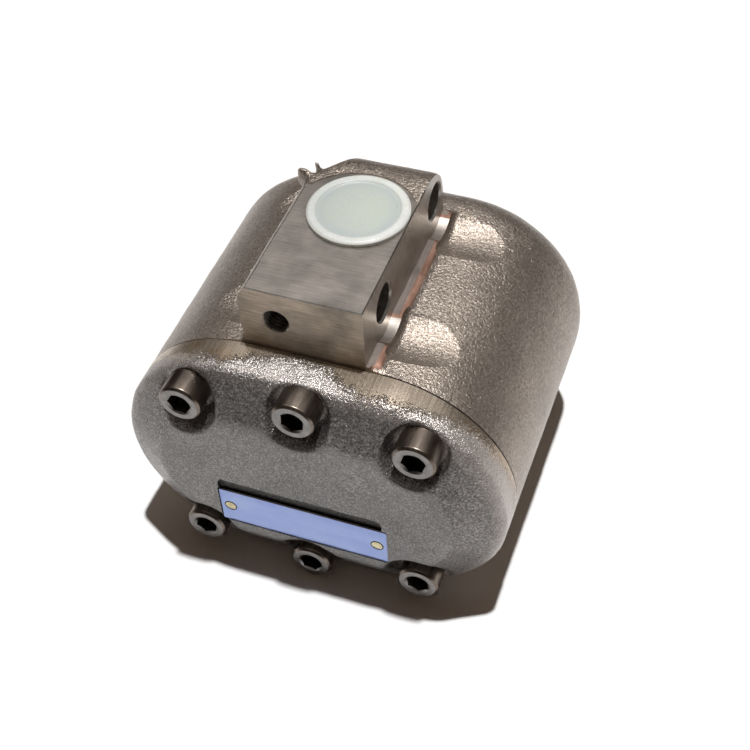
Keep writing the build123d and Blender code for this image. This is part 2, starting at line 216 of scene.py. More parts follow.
def box(name, low, high):
    x0, y0, z0 = low
    x1, y1, z1 = high
    return prism(name, "Z", [(x0, y0), (x1, y0), (x1, y1), (x0, y1)], z0, z1)


def rounded_box(name, low, high, corner, start, end):
    # Plate in the plane of the cover, with rounded corners.
    line = []
    for sx, sz, first in ((1, -1, -90), (1, 1, 0), (-1, 1, 90), (-1, -1, 180)):
        u = (high if sx > 0 else low)[0] - sx * corner
        v = (high if sz > 0 else low)[1] - sz * corner
        for i in range(7):
            t = math.radians(first + 15 * i)
            line.append((u + corner * math.cos(t), v + corner * math.sin(t)))
    return prism(name, "Y", line, start, end)


def apply_modifiers(obj):
    graph = bpy.context.evaluated_depsgraph_get()
    mesh = bpy.data.meshes.new_from_object(obj.evaluated_get(graph))
    old = obj.data
    obj.modifiers.clear()
    obj.data = mesh
    bpy.data.meshes.remove(old)


def cut(obj, *cutters, operation="DIFFERENCE"):
    for cutter in cutters:
        modifier = obj.modifiers.new("cut", "BOOLEAN")
        modifier.operation = operation
        modifier.solver = "MANIFOLD"
        modifier.object = cutter
        apply_modifiers(obj)
        bpy.data.objects.remove(cutter)


def coordinates(mesh):
    co = np.empty(len(mesh.vertices) * 3, np.float32)
    mesh.vertices.foreach_get("co", co)
    return co.reshape(-1, 3).astype(float)


def cast_skin(obj, voxel, rounds, waves):
    # Turns sharp solids into one casting with soft edges and a slightly uneven skin.
    modifier = obj.modifiers.new("skin", "REMESH")
    modifier.mode = "VOXEL"
    modifier.voxel_size = voxel
    apply_modifiers(obj)
    mesh = obj.data
    co = coordinates(mesh)
    edges = np.empty(len(mesh.edges) * 2, np.int32)
    mesh.edges.foreach_get("vertices", edges)
    edges = edges.reshape(-1, 2)
    degree = np.bincount(edges.ravel(), minlength=len(co))[:, None]
    for _ in range(rounds):
        total = np.zeros_like(co)
        for axis in range(3):
            total[:, axis] += np.bincount(edges[:, 0], co[edges[:, 1], axis], len(co))
            total[:, axis] += np.bincount(edges[:, 1], co[edges[:, 0], axis], len(co))
        co += 0.5 * (total / np.maximum(degree, 1) - co)
    mesh.vertices.foreach_set("co", co.astype(np.float32).ravel())
    mesh.update()
    normals = np.empty(len(mesh.vertices) * 3, np.float32)
    mesh.vertices.foreach_get("normal", normals)
    normals = normals.reshape(-1, 3)
    for size, height in waves:
        lift = np.array([noise.noise(Vector(p) / size) for p in co])
        co += normals * (height * lift)[:, None]
    mesh.vertices.foreach_set("co", co.astype(np.float32).ravel())
    mesh.update()


def clamp_box(obj, low, high):
    co = coordinates(obj.data)
    co = np.clip(co, low, high)
    obj.data.vertices.foreach_set("co", co.astype(np.float32).ravel())
    obj.data.update()


def shade(obj, angle):
    mesh = obj.data
    mesh.polygons.foreach_set("use_smooth", [True] * len(mesh.polygons))
    mesh.set_sharp_from_angle(angle=math.radians(angle))
    mesh.update()


def bevel(obj, width, segments):
    modifier = obj.modifiers.new("bevel", "BEVEL")
    modifier.width = width
    modifier.segments = segments
    modifier.limit_method = "ANGLE"
    modifier.angle_limit = math.radians(40)
    apply_modifiers(obj)


def join(name, *objects):
    verts, faces = [], []
    for o in objects:
        start = len(verts)
        verts += [tuple(v.co) for v in o.data.vertices]
        faces += [tuple(start + i for i in p.vertices) for p in o.data.polygons]
        bpy.data.objects.remove(o)
    return new_object(name, verts, faces)


def finish_piece(obj, body, materials, replaced, pick=None, angle=35, flat=()):
    # Materials by face: pick gives the material number from a face's middle and normal.
    obj.data.materials.clear()
    for m in materials:
        obj.data.materials.append(m)
    for p in obj.data.polygons:
        p.material_index = pick(p.center, p.normal) if pick else 0
    shade(obj, angle)
    for p in obj.data.polygons:
        if p.material_index in flat:
            p.use_smooth = False
    obj.data.transform(TO_ROW)
    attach(obj, body)
    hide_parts(*replaced)


# Material helpers.
def material(name):
    mat = bpy.data.materials.new(name)
    mat.use_nodes = True
    tree = mat.node_tree
    shader = tree.nodes["Principled BSDF"]
    return mat, tree, shader


def node(tree, kind, **values):
    item = tree.nodes.new(kind)
    for key, value in values.items():
        setattr(item, key, value)
    return item


def coords(tree, scale=(1, 1, 1), rotation=(0, 0, 0)):
    source = node(tree, "ShaderNodeTexCoord")
    mapping = node(tree, "ShaderNodeMapping")
    mapping.inputs["Scale"].default_value = scale
    mapping.inputs["Rotation"].default_value = rotation
    tree.links.new(source.outputs["Object"], mapping.inputs["Vector"])
    return mapping.outputs["Vector"]


def noise_tex(tree, vector, scale, detail, rough, distortion=0.0):
    tex = node(tree, "ShaderNodeTexNoise")
    tex.inputs["Scale"].default_value = scale
    tex.inputs["Detail"].default_value = detail
    tex.inputs["Roughness"].default_value = rough
    tex.inputs["Distortion"].default_value = distortion
    tree.links.new(vector, tex.inputs["Vector"])
    return tex.outputs["Fac"]


def ramp(tree, value, stops):
    item = node(tree, "ShaderNodeValToRGB")
    band = item.color_ramp
    while len(band.elements) < len(stops):
        band.elements.new(0.5)
    for element, (position, color) in zip(band.elements, stops):
        element.position = position
        element.color = (*color, 1)
    tree.links.new(value, item.inputs["Fac"])
    return item.outputs["Color"]


def grey(v):
    return (v, v, v)


def scale_range(tree, value, low, high, low_in=0.0, high_in=1.0):
    item = node(tree, "ShaderNodeMapRange")
    item.inputs["From Min"].default_value = low_in
    item.inputs["From Max"].default_value = high_in
    item.inputs["To Min"].default_value = low
    item.inputs["To Max"].default_value = high
    tree.links.new(value, item.inputs["Value"])
    return item.outputs["Result"]


def mix_color(tree, factor, a, b, mode="MIX"):
    item = node(tree, "ShaderNodeMix", data_type="RGBA", blend_type=mode)
    sockets = [s for s in item.inputs if s.type == "RGBA"]
    for socket, value in zip(sockets, (a, b)):
        if isinstance(value, tuple):
            socket.default_value = (*value, 1)
        else:
            tree.links.new(value, socket)
    factor_socket = item.inputs[0]
    if isinstance(factor, float):
        factor_socket.default_value = factor
    else:
        tree.links.new(factor, factor_socket)
    return [s for s in item.outputs if s.type == "RGBA"][0]


def combine(tree, operation, a, b):
    item = node(tree, "ShaderNodeMath", operation=operation)
    for socket, value in zip(item.inputs, (a, b)):
        if isinstance(value, (int, float)):
            socket.default_value = value
        else:
            tree.links.new(value, socket)
    return item.outputs[0]


def bump(tree, height, strength, distance):
    item = node(tree, "ShaderNodeBump")
    item.inputs["Strength"].default_value = strength
    item.inputs["Distance"].default_value = distance
    tree.links.new(height, item.inputs["Height"])
    return item.outputs["Normal"]


def cast_iron(name, dark, mid, light, grain, depth, rough=(0.34, 0.62)):
    # Oiled, phosphated sand casting: rounded grains about a millimetre wide, darker in the pits.
    mat, tree, shader = material(name)
    vector = coords(tree)
    grains = noise_tex(tree, vector, grain, 3.0, 0.6, 0.3)
    fine = noise_tex(tree, vector, grain * 2.6, 2.0, 0.5)
    broad = noise_tex(tree, vector, 45.0, 3.0, 0.55)
    height = combine(tree, "ADD", grains, combine(tree, "MULTIPLY", fine, 0.35))
    tone = ramp(tree, grains, [(0.30, dark), (0.52, mid), (0.74, light)])
    blotch = ramp(tree, broad, [(0.32, grey(0.72)), (0.68, grey(1.0))])
    tree.links.new(mix_color(tree, 0.75, tone, blotch, "MULTIPLY"), shader.inputs["Base Color"])
    tree.links.new(scale_range(tree, fine, rough[0], rough[1], 0.3, 0.7), shader.inputs["Roughness"])
    tree.links.new(bump(tree, height, 1.0, depth), shader.inputs["Normal"])
    shader.inputs["Metallic"].default_value = 0.75
    return mat


def brushed(name, dark, light, scale, rotation=(0, 0, 0), rough=(0.26, 0.42), depth=0.000012,
            blotch=(0.8, 1.0), metal=1.0):
    # Machined iron: fine cutter lines along one direction, faint stains and scratches.
    mat, tree, shader = material(name)
    lines = noise_tex(tree, coords(tree, scale, rotation), 1.0, 4.0, 0.65)
    broad = noise_tex(tree, coords(tree), 70.0, 4.0, 0.6)
    tone = ramp(tree, lines, [(0.32, dark), (0.68, light)])
    stain = ramp(tree, broad, [(0.34, grey(blotch[0])), (0.66, grey(blotch[1]))])
    tree.links.new(mix_color(tree, 1.0, tone, stain, "MULTIPLY"), shader.inputs["Base Color"])
    tree.links.new(scale_range(tree, broad, rough[0], rough[1], 0.3, 0.7), shader.inputs["Roughness"])
    tree.links.new(bump(tree, lines, 1.0, depth), shader.inputs["Normal"])
    shader.inputs["Metallic"].default_value = metal
    return mat


body_iron = cast_iron("body_iron", (0.24, 0.200, 0.165), (0.385, 0.325, 0.277), (0.60, 0.52, 0.45), 1020.0,
                      0.00036, rough=(0.23, 0.41))
# Near black cast iron: painted shade in the name plate's recess and in the sunk rings round the rivets, and the
# dark joint chamfer on the cover's right side.
painted_shade_and_joint_iron = cast_iron("painted_shade_and_joint_iron", (0.03, 0.028, 0.026), (0.08, 0.076, 0.072), (0.17, 0.162, 0.155), 1500.0,
                        0.0002)
milled_top = brushed("milled_top", (0.335, 0.297, 0.268), (0.48, 0.435, 0.395), (90, 4200, 90), (0, 0, 0.05),
                     rough=(0.30, 0.42), blotch=(0.74, 1.0))
milled_front = brushed("milled_front", (0.40, 0.335, 0.27), (0.62, 0.53, 0.435), (120, 200, 1500), (0, 0.4, 0),
                       rough=(0.42, 0.62), blotch=(0.5, 1.0))
milled_side = brushed("milled_side", (0.26, 0.23, 0.20), (0.52, 0.475, 0.43), (200, 2200, 200))
bored = brushed("bored", (0.38, 0.36, 0.335), (0.56, 0.535, 0.50), (2400, 200, 200), rough=(0.26, 0.40),
                metal=0.8)
rust_strip = brushed("rust_strip", (0.21, 0.118, 0.084), (0.37, 0.225, 0.17), (500, 120, 500), rough=(0.5, 0.7))
ledge = brushed("ledge", (0.22, 0.182, 0.162), (0.34, 0.288, 0.26), (2600, 120, 300), rough=(0.45, 0.6))
spot_wall = brushed("spot_wall", (0.42, 0.375, 0.335), (0.56, 0.51, 0.465), (300, 300, 300),
                    rough=(0.28, 0.40), metal=0.8)
thread_steel = brushed("thread_steel", (0.36, 0.32, 0.28), (0.58, 0.52, 0.46), (300, 300, 300),
                       rough=(0.25, 0.35), metal=0.7)
turned = brushed("turned", (0.36, 0.345, 0.33), (0.54, 0.52, 0.50), (300, 300, 300), rough=(0.25, 0.4))
steel_black = brushed("steel_black", (0.15, 0.122, 0.10), (0.27, 0.225, 0.19), (700, 60, 700),
                      rough=(0.26, 0.38), depth=0.000004)
steel_face = brushed("steel_face", (0.20, 0.19, 0.18), (0.30, 0.285, 0.275), (500, 500, 500),
                     rough=(0.30, 0.45), depth=0.000008)
# Near black steel for painted shade inside the screw sockets and deep in the lock hole.
painted_shade_steel = brushed("painted_shade_steel", (0.06, 0.056, 0.05), (0.17, 0.155, 0.14), (500, 500, 500),
                       rough=(0.3, 0.5))
shaft_steel = brushed("shaft_steel", (0.42, 0.41, 0.40), (0.58, 0.57, 0.56), (60, 2600, 60),
                      rough=(0.16, 0.28), depth=0.000005)
gear_steel = brushed("gear_steel", (0.30, 0.29, 0.28), (0.44, 0.43, 0.42), (900, 90, 900), rough=(0.22, 0.36))
bronze = brushed("bronze", (0.40, 0.26, 0.13), (0.58, 0.40, 0.20), (400, 2000, 400), rough=(0.25, 0.4))
aluminium = brushed("aluminium", (0.50, 0.50, 0.50), (0.66, 0.66, 0.66), (1500, 300, 1500), rough=(0.3, 0.45))
ring_steel = brushed("ring_steel", (0.10, 0.10, 0.105), (0.18, 0.18, 0.185), (500, 500, 500), rough=(0.3, 0.45))
rivet_metal = brushed("rivet_metal", (0.50, 0.44, 0.27), (0.72, 0.65, 0.43), (500, 500, 500),
                      rough=(0.09, 0.16), depth=0.000003)


def axis_value(tree, axis):
    # Place along one axis of the row frame, in millimetres.
    source = node(tree, "ShaderNodeTexCoord")
    split = node(tree, "ShaderNodeSeparateXYZ")
    tree.links.new(source.outputs["Object"], split.inputs[0])
    return combine(tree, "MULTIPLY", split.outputs[axis], 1000.0)


# Width of the ground band on the cover rim, by place along the row in millimetres.
BAND = [(-73.5, 4.0), (-57, 5.5), (-49, 8.5), (-38, 9.0), (-30, 10.5), (-22, 6.0), (-14, 3.2), (-5, 1.6),
        (3, 2.6), (9, 5.0), (14, 8.5), (20, 11.5), (36, 11.0), (44, 8.0), (52, 6.0), (62, 4.4), (73.5, 3.4)]
BAND_DEPTH = 14.0


def cover_skin():
    # Cast skin of the cover with its rim ground to the housing. Near the border only pits are left. The crest
    # of the rim carries a painted highlight.
    mat, tree, shader = material("cover_iron")
    vector = coords(tree)
    front = axis_value(tree, 1)
    grains = noise_tex(tree, vector, 1250.0, 3.0, 0.6, 0.3)
    sand = noise_tex(tree, vector, 1600.0, 4.0, 0.65)
    broad = noise_tex(tree, vector, 55.0, 3.0, 0.55)
    pad = scale_range(tree, front, 0.0, 1.0, -80.3, -81.3)
    lines = noise_tex(tree, coords(tree, (2300, 45, 2300)), 1.0, 4.0, 0.65)
    patches = noise_tex(tree, coords(tree, (150, 60, 150)), 1.0, 3.0, 0.6)

    place = scale_range(tree, axis_value(tree, 0), 0.0, 1.0, BAND[0][0], BAND[-1][0])
    reach = BAND[-1][0] - BAND[0][0]
    stops = [((x - BAND[0][0]) / reach, grey(w / BAND_DEPTH)) for x, w in BAND]
    width = ramp(tree, place, stops)
    depth = scale_range(tree, front, 0.0, 2.0, -MIDDLE_Y, -MIDDLE_Y - 2 * BAND_DEPTH)
    edge = combine(tree, "SUBTRACT", depth, width)
    edge = combine(tree, "ADD", edge, combine(tree, "MULTIPLY", combine(tree, "SUBTRACT", patches, 0.5), 0.45))
    edge = combine(tree, "ADD", edge, combine(tree, "MULTIPLY", combine(tree, "SUBTRACT", grains, 0.5), 1.3))
    rough_part = scale_range(tree, edge, 0.0, 1.0, -0.06, 0.10)

    coarse = ramp(tree, grains, [
        (0.30, (0.08, 0.074, 0.071)), (0.52, (0.23, 0.216, 0.207)), (0.72, (0.50, 0.48, 0.47))])
    even = ramp(tree, sand, [
        (0.30, (0.11, 0.106, 0.102)), (0.50, (0.22, 0.213, 0.205)), (0.70, (0.43, 0.42, 0.41))])
    # Painted highlight: the crest where the rim turns to the front is lightened towards pale grey, more so
    # towards the right.
    painted_crest_highlight = scale_range(tree, front, 0.0, 0.5, -74.0, -69.5)
    painted_crest_highlight = combine(tree, "MULTIPLY", painted_crest_highlight, scale_range(tree, axis_value(tree, 0), 0.85, 1.6, -45.0, 20.0))
    coarse = mix_color(tree, painted_crest_highlight, coarse, (0.68, 0.615, 0.575))
    skin = mix_color(tree, pad, coarse, even)
    ground = ramp(tree, lines, [(0.30, (0.34, 0.275, 0.215)), (0.70, (0.66, 0.56, 0.45))])
    brown = scale_range(tree, broad, 0.0, 0.75, 0.5, 0.72)
    ground = mix_color(tree, brown, ground, (0.36, 0.245, 0.155))
    blotch = ramp(tree, broad, [(0.32, grey(0.74)), (0.68, grey(1.0))])
    tone = mix_color(tree, rough_part, ground, mix_color(tree, 0.8, skin, blotch, "MULTIPLY"))
    tree.links.new(tone, shader.inputs["Base Color"])

    fine = noise_tex(tree, vector, 2600.0, 2.0, 0.5)
    gloss = scale_range(tree, fine, 0.19, 0.38, 0.3, 0.7)
    gloss = combine(tree, "ADD", gloss, combine(tree, "MULTIPLY", pad, 0.16))
    tree.links.new(gloss, shader.inputs["Roughness"])

    relief = combine(tree, "ADD", grains, combine(tree, "MULTIPLY", fine, 0.35))
    flat = combine(tree, "MULTIPLY", sand, 0.42)
    ease = combine(tree, "SUBTRACT", 1.0, pad)
    relief = combine(tree, "ADD", combine(tree, "MULTIPLY", relief, ease), combine(tree, "MULTIPLY", flat, pad))
    relief = combine(tree, "MULTIPLY", relief, rough_part)
    relief = combine(tree, "ADD", relief, combine(tree, "MULTIPLY", lines, 0.02))
    tree.links.new(bump(tree, relief, 1.0, 0.00046), shader.inputs["Normal"])
    shader.inputs["Metallic"].default_value = 0.8
    return mat


cover_iron = cover_skin()


def rubber(name, dark, light):
    mat, tree, shader = material(name)
    speck = noise_tex(tree, coords(tree), 1500.0, 4.0, 0.6)
    tree.links.new(ramp(tree, speck, [(0.35, dark), (0.7, light)]), shader.inputs["Base Color"])
    tree.links.new(scale_range(tree, speck, 0.42, 0.62), shader.inputs["Roughness"])
    tree.links.new(bump(tree, speck, 0.6, 0.00002), shader.inputs["Normal"])
    return mat


seal_rubber = rubber("seal_rubber", (0.012, 0.012, 0.012), (0.03, 0.03, 0.03))
lip_rubber = rubber("lip_rubber", (0.075, 0.030, 0.018), (0.13, 0.055, 0.032))


def plate_blue():
    mat, tree, shader = material("plate_blue")
    cloud = noise_tex(tree, coords(tree), 120.0, 4.0, 0.55)
    fine = noise_tex(tree, coords(tree, (200, 3000, 3000)), 1.0, 3.0, 0.6)
    blue = ramp(tree, cloud, [(0.3, (0.32, 0.45, 0.95)), (0.7, (0.41, 0.54, 1.0))])
    streak = mix_color(tree, scale_range(tree, fine, 0.0, 0.25), blue, (0.48, 0.61, 0.94))
    tree.links.new(streak, shader.inputs["Base Color"])
    tree.links.new(scale_range(tree, cloud, 0.26, 0.36), shader.inputs["Roughness"])
    tree.links.new(bump(tree, cloud, 0.3, 0.00004), shader.inputs["Normal"])
    shader.inputs["Metallic"].default_value = 0.22
    shader.inputs["Coat Weight"].default_value = 0.2
    return mat


def plug_plastic():
    mat, tree, shader = material("plug_plastic")
    centre = node(tree, "ShaderNodeMapping")
    centre.inputs["Location"].default_value = (0, (MIDDLE_Y - PORT_Y) * MM, 0)
    centre.inputs["Scale"].default_value = (1, 1, 0)
    source = node(tree, "ShaderNodeTexCoord")
    tree.links.new(source.outputs["Object"], centre.inputs["Vector"])
    length = node(tree, "ShaderNodeVectorMath", operation="LENGTH")
    tree.links.new(centre.outputs["Vector"], length.inputs[0])
    radius = scale_range(tree, length.outputs["Value"], 0.0, 1.0, 0.0, 0.0185)
    tint = ramp(tree, radius, [
        (0.0, (0.68, 0.74, 0.66)), (0.58, (0.63, 0.69, 0.64)), (0.74, (0.55, 0.61, 0.62)),
        (0.80, (0.72, 0.76, 0.75)), (0.86, (0.95, 0.97, 0.95)), (1.0, (0.98, 0.985, 0.95))])
    fine = noise_tex(tree, coords(tree), 1400.0, 4.0, 0.7)
    cloud = noise_tex(tree, coords(tree), 110.0, 3.0, 0.6)
    mottled = mix_color(tree, scale_range(tree, cloud, 0.0, 0.4, 0.3, 0.7), tint, (0.66, 0.68, 0.55))
    speckled = mix_color(tree, scale_range(tree, fine, 0.0, 0.3, 0.35, 0.7), mottled, (0.42, 0.48, 0.47))
    # Painted shade: the plug's colour darkens towards grey on its left side.
    painted_left_shade = scale_range(tree, axis_value(tree, 0), 0.36, 0.0, -19.0, 6.0)
    shaded = mix_color(tree, painted_left_shade, speckled, (0.40, 0.43, 0.43))
    tree.links.new(shaded, shader.inputs["Base Color"])
    tree.links.new(scale_range(tree, fine, 0.28, 0.44), shader.inputs["Roughness"])
    tree.links.new(bump(tree, fine, 0.7, 0.00008), shader.inputs["Normal"])
    shader.inputs["Subsurface Weight"].default_value = 0.25
    shader.inputs["Subsurface Radius"].default_value = (0.7, 1.0, 0.9)
    shader.inputs["Subsurface Scale"].default_value = 0.002
    shader.inputs["Transmission Weight"].default_value = 0.12
    return mat


# Housing.
def scallop(y, start, end):
    # Hollow for a bolt head beside the block, with a rounded inner edge.
    side = 1 if end > start else -1
    profile = []
    for i in range(7):
        t = math.radians(15 * i)
        radius = SCALLOP_R - SCALLOP_EDGE + SCALLOP_EDGE * math.sin(t)
        profile.append((radius, start + side * SCALLOP_EDGE * (1 - math.cos(t))))
    return lathe("scallop", "X", (y, HOLE_Z), profile + [(SCALLOP_R, end)])


def raw_housing():
    edge = [(BODY_R - 0.14, -4.0), (BODY_R - 0.14, BODY_LENGTH), (0.01, BODY_LENGTH)]
    profile = rounded(edge, [0, BACK_ROUNDING, 0], 14)[:-1]
    body = loft("housing_casting", [racetrack(r, y) for r, y in profile])
    block_line = rounded(
        [(-4, 30), (-4, BLOCK_TOP + 0.45), (BLOCK_BACK, BLOCK_TOP + 0.2), (BLOCK_BACK, 30)],
        [0, 0, BLOCK_ROUNDING, 0], 10)
    block = prism("block", "X", block_line, BLOCK_LEFT, BLOCK_RIGHT + 0.6)
    edge_w, edge_h = 2.7, 3.9
    slope = edge_h / edge_w
    cut(block, prism("edge", "Y", [
        (BLOCK_LEFT - 2, BLOCK_TOP - edge_h - 2 * slope), (BLOCK_LEFT + edge_w + 2, BLOCK_TOP + 2 * slope),
        (BLOCK_LEFT - 2, BLOCK_TOP + 2 * slope)], -6, 95))
    slab = box("corner_cut", (-60, -60, 0), (60, 60, 60))
    slab.data.transform(Vector((-4, 3, 3)).to_track_quat("Z", "X").to_matrix().to_4x4())
    slab.data.transform(Matrix.Translation((5.4 + BLOCK_LEFT, BLOCK_BACK - 20, BLOCK_TOP + 0.2)))
    cut(block, slab)
    foot_right = box("foot_right", (0, 1.2, 30), (STRIP_RIGHT, BLOCK_BACK, STRIP_TOP + 0.25))
    foot_left = box("foot_left", (STRIP_LEFT, 10, 30), (0, BLOCK_BACK, STRIP_TOP + 0.25))
    boss = rod("boss", "Y", (DRIVE_X, 0), BOSS_R - 0.1, BODY_LENGTH - 12, BOSS_FACE + 0.6)
    fin = prism("fin", "Z", [
        (-25.0, 60.8), (-29.2, 61.2), (-29.7, 62.6), (-28.9, 63.6), (-25.0, 63.6)], 69, 77.6)
    tip = prism("tip", "Z", [(-22.6, 66.2), (-24.9, 66.7), (-24.6, 68.0), (-22.6, 67.8)], 72, 77.4)
    raw = join("housing_casting", body, block, foot_right, foot_left, boss, fin, tip)
    modifier = raw.modifiers.new("merge", "REMESH")
    modifier.mode = "VOXEL"
    modifier.voxel_size = 0.95
    apply_modifiers(raw)
    cast_skin(raw, 0.95, 3, [(16.0, 0.16), (6.0, 0.09), (2.6, 0.06)])
    limit = BODY_R - 0.02
    clamp_box(raw, (-AXIS_X - limit, -9, -BODY_R), (AXIS_X + limit, 300, BLOCK_TOP + 1.2))
    for y in HOLE_Y:
        cut(raw, scallop(y, STRIP_RIGHT - 1.4, 80), scallop(y, STRIP_LEFT + 1.4, -80))
    return raw


def thread_cutter(name, axis, center, minor, major, start, end, pitch, segments=64):
    # Rings of thread cut into a hole wall.
    profile = [(minor, start)]
    turns = int(abs(end - start) / pitch) - 1
    step = pitch if end > start else -pitch
    level = start + step * 0.5
    for _ in range(turns):
        profile += [(minor, level), (major, level + step * 0.4)]
        profile += [(major, level + step * 0.5), (minor, level + step * 0.9)]
        level += step
    profile.append((minor, end))
    return lathe(name, axis, center, profile, segments)


housing = raw_housing()
cut(housing, box("joint", (-90, -12, -60), (90, 0, 90)))
cutter_path = [(-60, -12), (60, -12), (60, PORT_Y), (20.8, PORT_Y)]
for step in range(35):
    t = math.pi * step / 40
    cutter_path.append((-1.5 + 22.3 * math.cos(t), PORT_Y + 20.4 * math.sin(t)))
cutter_path += [(-24.0, PORT_Y + 9.0), (-30.0, PORT_Y + 12.5), (-60, PORT_Y + 12.5), (-60, PORT_Y)]
cut(housing, prism("top", "Z", cutter_path, BLOCK_TOP, BLOCK_TOP + 20))
cut(housing, box("side", (BLOCK_RIGHT, -12, STRIP_TOP), (BLOCK_RIGHT + 2.7, 100, 100)))
cut(housing, box("side_rest", (BLOCK_RIGHT + 2, -12, STRIP_TOP + 0.6), (BLOCK_RIGHT + 12, 100, 100)))
for hole_y in HOLE_Y:
    cut(housing,
        rod("spot", "X", (hole_y, HOLE_Z), SPOT_R, BLOCK_RIGHT, STRIP_RIGHT + 1.5),
        rod("spot", "X", (hole_y, HOLE_Z), SPOT_R, STRIP_LEFT - 1.5, BLOCK_LEFT + 0.05),
        rod("cross", "X", (hole_y, HOLE_Z), CROSS_R, -50, 50),
        lathe("cross_edge", "X", (hole_y, HOLE_Z), [
            (7.7, BLOCK_RIGHT + 1), (7.7, BLOCK_RIGHT), (6.9, BLOCK_RIGHT - 0.8)]))
cut(housing, thread_cutter("lock", "Y", (LOCK_X, HOLE_Z), LOCK_R, LOCK_THREAD_R, -0.6, 20.0, 1.5))
cut(housing, lathe("lock_mouth", "Y", (LOCK_X, HOLE_Z), [(5.4, -1), (5.05, 0), (4.2, 0.8)]))
chamber = rod("chamber", "Y", (-AXIS_X, 0), CAVITY_R, -1, CAVITY_DEPTH, 128)
cut(housing, chamber, rod("chamber", "Y", (AXIS_X, 0), CAVITY_R, -1, CAVITY_DEPTH, 128))
cut(housing, lathe("port", "Z", (0, PORT_Y), [
    (PASSAGE_R, 0), (PASSAGE_R, BLOCK_TOP - PORT_DEPTH), (PORT_R, BLOCK_TOP - PORT_DEPTH),
    (PORT_R, BLOCK_TOP - 1.5), (PORT_MOUTH_R, BLOCK_TOP), (PORT_MOUTH_R, BLOCK_TOP + 1)]))
cut(housing, rod("suction_pad", "Z", (0, PORT_Y), SUCTION_PAD_R, -BODY_R - 2, -BODY_R + 0.12))
cut(housing, thread_cutter(
    "suction", "Z", (0, PORT_Y), SUCTION_R, SUCTION_THREAD_R, -BODY_R - 0.5, -BODY_R + 16.5, 2.31, 96))
cut(housing,
    lathe("suction_mouth", "Z", (0, PORT_Y), [(21.4, -BODY_R - 1), (20.9, -BODY_R), (19.4, 1.4 - BODY_R)]),
    rod("suction_floor", "Z", (0, PORT_Y), SUCTION_R, -BODY_R + 10, 17.5 - BODY_R),
    rod("suction_way", "Z", (0, PORT_Y), SUCTION_PASSAGE_R, 10 - BODY_R, 0))
cut(housing,
    box("boss_face", (-80, BOSS_FACE, -60), (80, BOSS_FACE + 20, 60)),
    lathe("seal_pocket", "Y", (DRIVE_X, 0), [
        (SHAFT_HOLE_R, 90), (SHAFT_HOLE_R, 102.1), (SEAL_R, 102.1), (SEAL_R, 109.1), (SEAL_RING_R, 109.1),
        (SEAL_RING_R, 110.8), (SEAL_R, 110.8), (SEAL_R, 112.6), (SEAL_R + 0.5, 113.1), (SEAL_R + 0.5, 114.1)]))
for sx, sz in SCREW_SPOTS:
    cut(housing, rod("screw_hole", "Y", (sx, sz), SCREW_R + 0.05, -1, 24.0, 48))
for side in (-1, 1):
    cut(housing, rod("dowel_hole", "Y", (side * DOWEL_X, 0), DOWEL_HOLE_R, -1, DOWEL_DEPTH, 32))
cut(housing, loft("seal_groove", [
    racetrack(SEAL_TRACK_R + 1.5, -1), racetrack(SEAL_TRACK_R + 1.5, 2.42),
    racetrack(SEAL_TRACK_R - 1.5, 2.42), racetrack(SEAL_TRACK_R - 1.5, -1)], True))


def chamfer_cut(name, axis, corner, size, start, end, direction):
    # Triangular prism that takes a small chamfer off a straight edge.
    u, v = corner
    du, dv = direction
    outline = [(u - du * (size + 1), v + dv * 1), (u + du * 1, v - dv * (size + 1)), (u + du * 1, v + dv * 1)]
    return prism(name, axis, outline, start, end)


cut(housing, chamfer_cut("edge_front", "X", (0, BLOCK_TOP), 0.3, -40, 40, (-1, 1)))
cut(housing, chamfer_cut("edge_side", "Y", (BLOCK_RIGHT, BLOCK_TOP), 0.3, -2, 65, (1, 1)))


# Materials of the housing's faces, by number.
CAST, TOP, FRONT, SIDE, BORE, RUST, TURNED, LEDGE, SPOT, THREAD, DEEP_SHADE = range(11)


